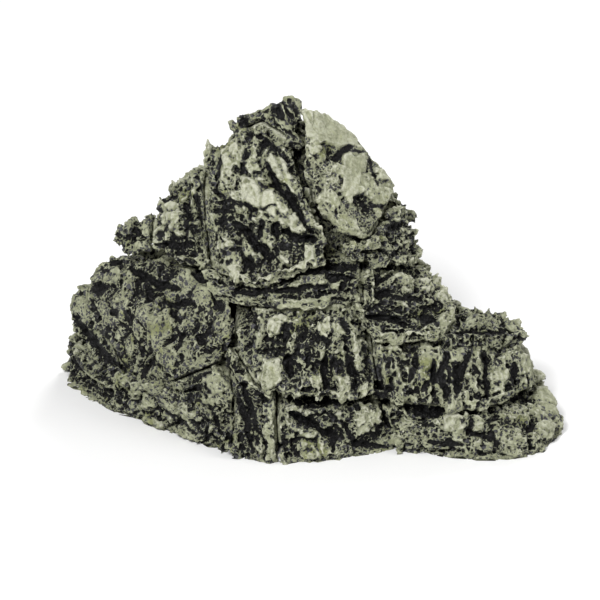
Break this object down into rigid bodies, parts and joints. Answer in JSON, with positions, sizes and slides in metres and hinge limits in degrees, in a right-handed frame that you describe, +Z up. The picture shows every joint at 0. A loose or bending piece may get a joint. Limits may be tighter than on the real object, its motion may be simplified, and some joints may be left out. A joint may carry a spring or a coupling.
{
  "type": "resin cave ornament",
  "caption": "Craggy rock-shaped resin ornament with a hollow cave that opens at the back, for sheltering small fish in a pond or aquarium.",
  "frame": {"origin": "on the ground, under the middle of the ornament's bounding box", "axes": "+X along the ornament's length to its low ridge, -Y towards the rocky front, +Y towards the cave's mouth, +Z up"},
  "size_m": [0.204, 0.1, 0.134],
  "materials": {
    "dry_brushed_green": "cast resin, near-black base coat, pale yellow-green dry-brushed on all raised edges, matt",
    "cave_black": "cast resin, near-black base coat left bare inside the cave, matt"
  },
  "bodies": {
    "root": {"cave_shell": "cave_black", "left_knob": "dry_brushed_green", "ridge_ledge": "dry_brushed_green", "peak_crag": "dry_brushed_green", "summit_slab": "dry_brushed_green", "crown": "dry_brushed_green", "right_shoulder": "dry_brushed_green", "left_shoulder": "dry_brushed_green", "left_slab": "dry_brushed_green", "left_outcrop": "dry_brushed_green", "centre_buttress": "dry_brushed_green", "right_ridge": "dry_brushed_green", "strata_band": "dry_brushed_green", "right_saddle": "dry_brushed_green", "left_foot": "dry_brushed_green", "front_folds": "dry_brushed_green", "front_foot": "dry_brushed_green", "right_foot": "dry_brushed_green", "back_crag": "dry_brushed_green", "rear_lintel": "dry_brushed_green", "rear_left_pier": "dry_brushed_green", "rear_right_pier": "dry_brushed_green"}
  },
  "joints": []
}
